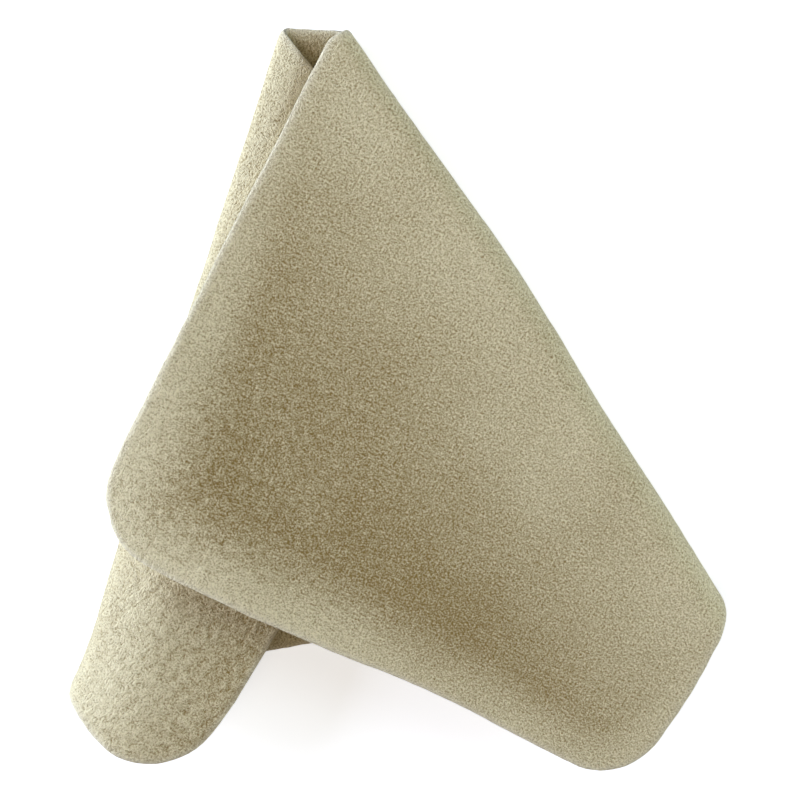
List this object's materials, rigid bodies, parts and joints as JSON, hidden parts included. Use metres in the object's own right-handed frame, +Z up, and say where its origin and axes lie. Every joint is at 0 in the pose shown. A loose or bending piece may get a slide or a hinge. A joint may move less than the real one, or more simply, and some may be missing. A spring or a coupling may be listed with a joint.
{
  "type": "glasses cleaning cloth",
  "caption": "Rectangular sheet of soft buff chamois leather with rounded corners, folded over itself and laid down, for wiping spectacle lenses.",
  "frame": {"origin": "middle of the folded cloth's box, on the table under the back panel", "axes": "+Z up from the table, +Y towards the narrow end where the two folds meet, +X towards the front panel's fold"},
  "size_m": [0.0966, 0.1066, 0.0112],
  "materials": {
    "chamois": "soft raised nap on both faces, matt buff"
  },
  "bodies": {
    "back": {"back_panel": "chamois"},
    "front": {"front_panel": "chamois"},
    "flap": {"inner_flap": "chamois"}
  },
  "joints": [
    {"name": "front_fold", "type": "hinge", "parent": "back", "child": "front", "pos_m": [0.01984, 0.01251, 0.00328], "axis": [-0.57, 0.8214, -0.0189], "range_deg": [0, 170]},
    {"name": "flap_fold", "type": "hinge", "parent": "back", "child": "flap", "pos_m": [-0.03284, 0.00589, 0.00211], "axis": [-0.3117, -0.95, 0.0199], "range_deg": [0, 34]}
  ],
  "couplings": [
    {"joint": "flap_fold", "follows": "front_fold", "ratio": 0.2}
  ]
}
